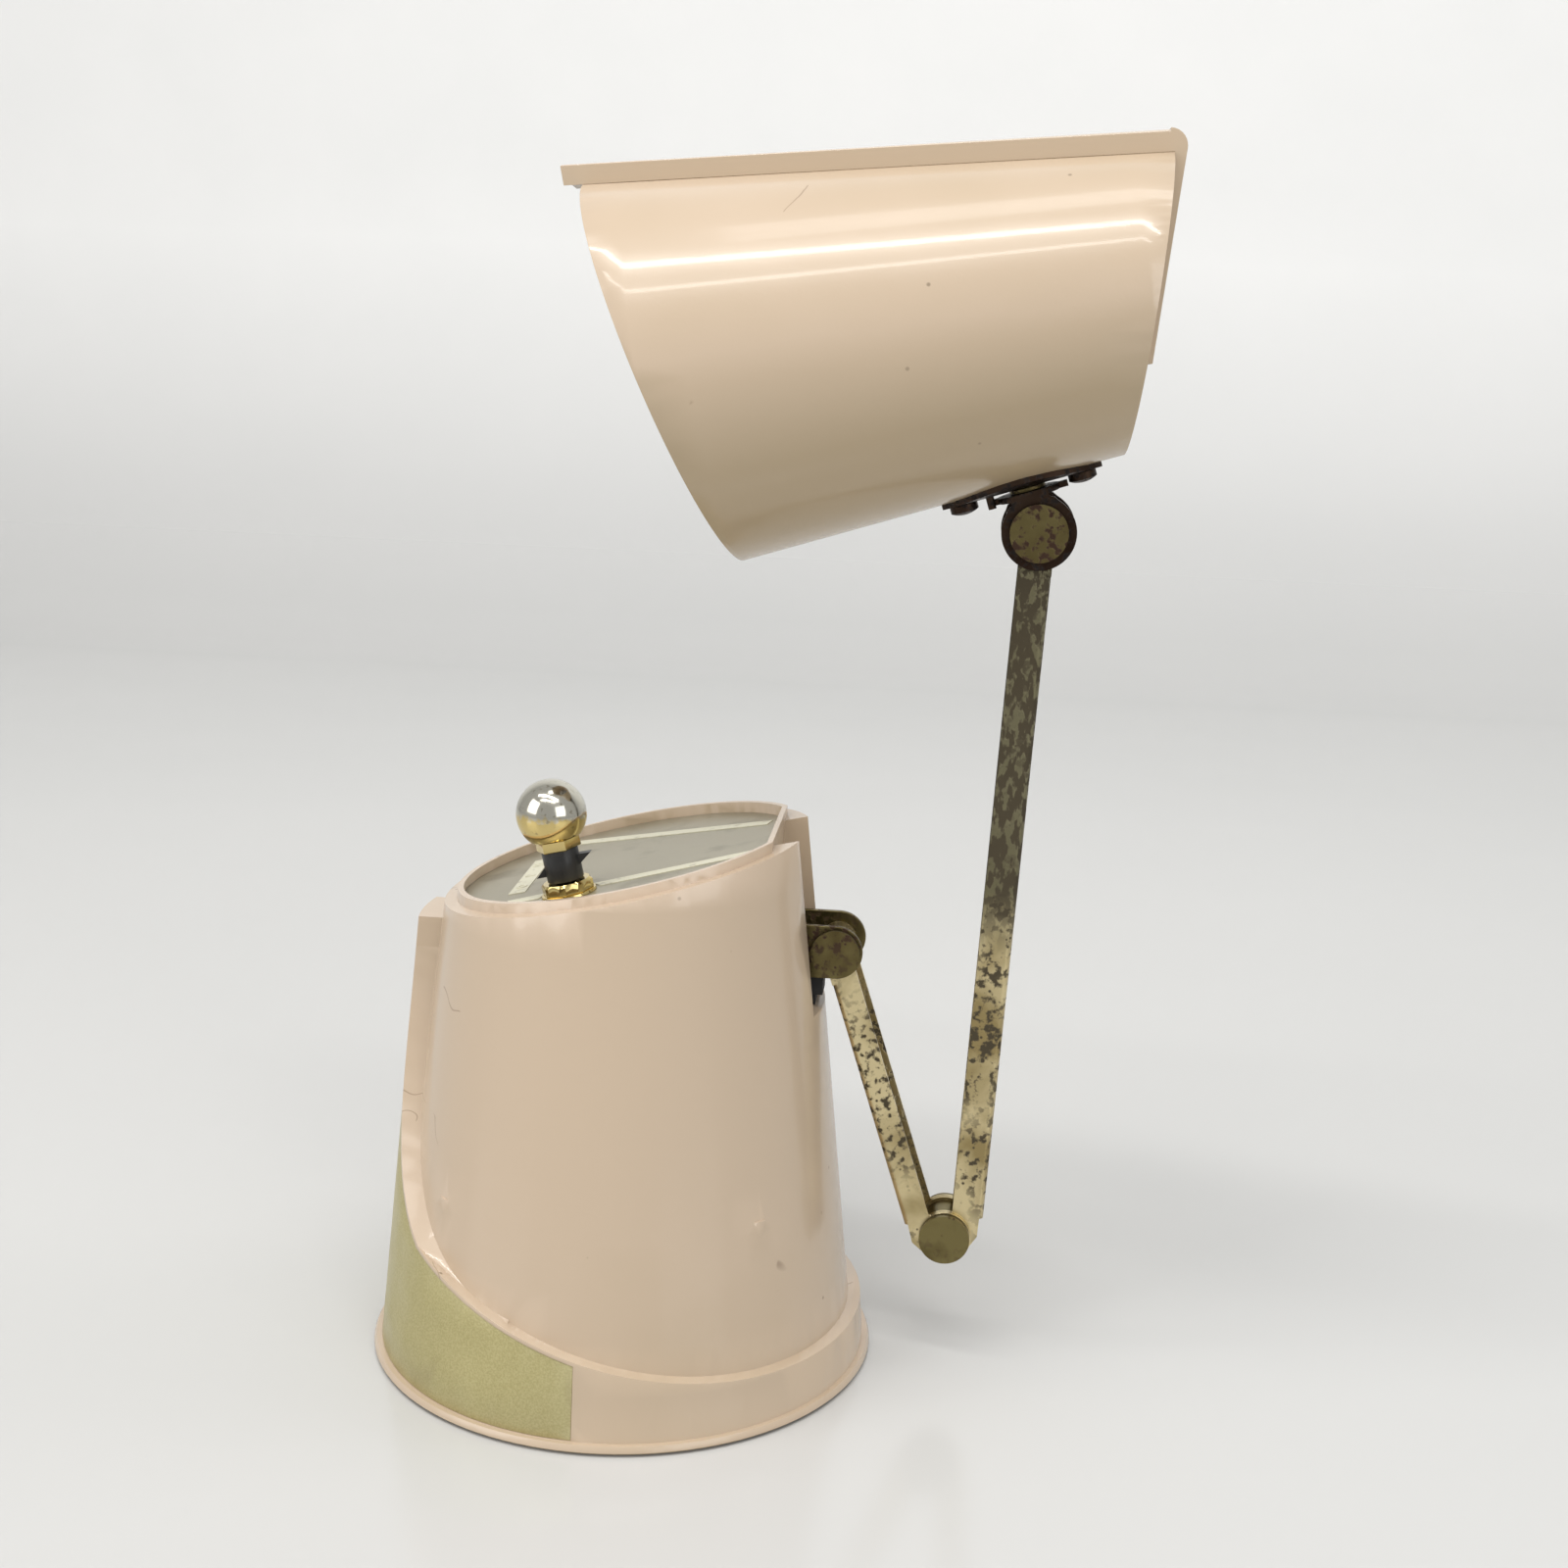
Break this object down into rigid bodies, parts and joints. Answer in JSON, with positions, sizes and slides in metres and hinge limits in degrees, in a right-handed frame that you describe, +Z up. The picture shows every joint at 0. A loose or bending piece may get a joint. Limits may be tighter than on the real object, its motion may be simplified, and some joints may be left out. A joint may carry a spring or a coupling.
{
  "type": "folding desk lamp",
  "caption": "Folding desk lamp: cone base with slanted dial and ball knob, V-folding channel arms and a cone shade that caps the base when folded.",
  "frame": {"origin": "centre of the base on the table plane, on the axis of the base's cone", "axes": "+Z up; +X towards the arms at the back of the base; -X towards the curved front panel; rest pose is the open pose"},
  "size_m": [0.157, 0.1764, 0.2563],
  "materials": {
    "pink_plastic": "aged gloss",
    "panel_gold": "pale olive gold paint",
    "dial_gold": "satin",
    "dial_cream": "printed",
    "black_plastic": "satin",
    "brown_phenolic": "satin",
    "black_rubber": "matte",
    "brass_arm": "brass plated, pitted",
    "bronze": "brass plated, tarnished",
    "rusty_steel": "tarnished dark brown",
    "gold_plate": "polished gold plate",
    "zinc_steel": "zinc plated",
    "grey_steel": "dark grey paint",
    "core_iron": "laminated and varnished",
    "copper_wire": "varnished",
    "bright_aluminium": "bright",
    "bulb_glass": "clear",
    "brass_cap": "plain"
  },
  "bodies": {
    "base": {"base_housing": "pink_plastic", "front_panel": "panel_gold", "bottom_plate": "grey_steel", "bottom_screws": "zinc_steel", "foot_ring": "black_rubber", "transformer_core": "core_iron", "transformer_coil": "copper_wire", "transformer_screws": "zinc_steel", "dial_plate": "dial_gold", "dial_scale": "dial_cream", "switch_body": "brown_phenolic", "switch_nut": "gold_plate", "cord_grommet": "black_rubber", "mains_cord": "black_rubber", "mains_plug": "black_plastic", "body_bracket": "bronze", "bracket_screws": "zinc_steel", "lead_grommet": "black_rubber", "lower_rivet": "bronze"},
    "knob": {"knob_stem": "black_plastic", "knob_ball": "gold_plate"},
    "short_arm": {"short_arm": "brass_arm", "elbow_rivet": "bronze"},
    "long_arm": {"long_arm": "brass_arm", "elbow_bush": "bronze"},
    "clevis": {"head_clevis": "rusty_steel", "upper_rivet": "bronze"},
    "head": {"swivel_stud": "bronze", "saddle_plate": "rusty_steel", "saddle_screws": "rusty_steel", "shade_shell": "pink_plastic", "shade_strap": "pink_plastic", "reflector": "bright_aluminium", "lamp_socket": "zinc_steel", "socket_bracket": "zinc_steel", "bulb_cap": "brass_cap", "bulb_glass": "bulb_glass", "filament": "grey_steel"}
  },
  "joints": [
    {"name": "switch_turn", "type": "hinge", "parent": "base", "child": "knob", "pos_m": [-0.00963, -0.0205, 0.10501], "axis": [-0.2317, 0, 0.9728], "range_deg": [0, 60]},
    {"name": "lower_pivot", "type": "hinge", "parent": "base", "child": "short_arm", "pos_m": [0.0435, 0, 0.09125], "axis": [0, -1, 0], "range_deg": [-10.5, 69]},
    {"name": "elbow", "type": "hinge", "parent": "short_arm", "child": "long_arm", "pos_m": [0.06909, 0, 0.02927], "axis": [0, 1, 0], "range_deg": [-20.9, 150]},
    {"name": "head_tilt", "type": "hinge", "parent": "long_arm", "child": "clevis", "pos_m": [0.07989, 0, 0.17945], "axis": [0, 1, 0], "range_deg": [-61, 105]},
    {"name": "head_swivel", "type": "hinge", "parent": "clevis", "child": "head", "pos_m": [0.07989, 0, 0.17945], "axis": [-0.31, 0, 0.9507], "range_deg": [0, 150]}
  ]
}
